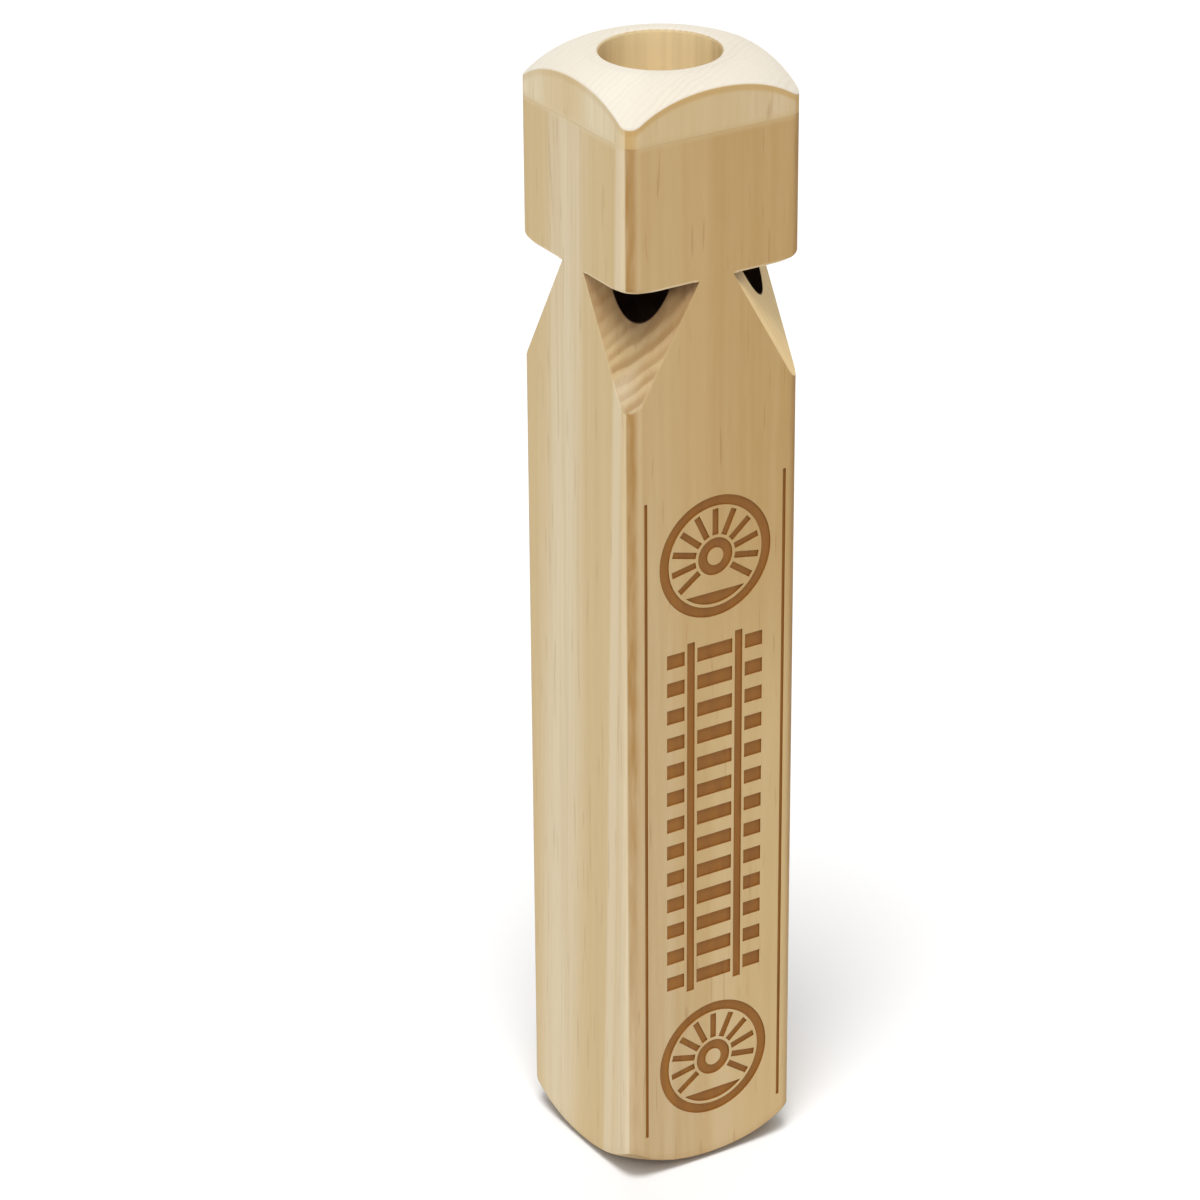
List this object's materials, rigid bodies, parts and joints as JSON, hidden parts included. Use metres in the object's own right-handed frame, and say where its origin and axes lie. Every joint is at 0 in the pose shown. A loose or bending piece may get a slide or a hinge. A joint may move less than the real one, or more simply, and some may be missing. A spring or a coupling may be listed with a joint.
{
  "type": "wooden train whistle",
  "caption": "Square wooden whistle with domed ends, a round mouth hole and a notched sound window in each long edge, blown to make a train horn chord.",
  "frame": {"origin": "centre of the flat foot, on the plane that the whistle stands on", "axes": "+Z along the whistle from the foot to the mouth; the flats face +X, -X, +Y and -Y, and the front is -Y"},
  "size_m": [0.032, 0.032, 0.19],
  "materials": {
    "body_pine": "sanded bare pine",
    "cap_pine": "sanded bare pine",
    "plug_dowel": "plain dowel"
  },
  "bodies": {
    "root": {"body_block": "body_pine", "mouthpiece_cap": "cap_pine", "fipple_plug_front_left": "plug_dowel", "fipple_plug_front_right": "plug_dowel", "fipple_plug_back_right": "plug_dowel", "fipple_plug_back_left": "plug_dowel"}
  },
  "joints": []
}
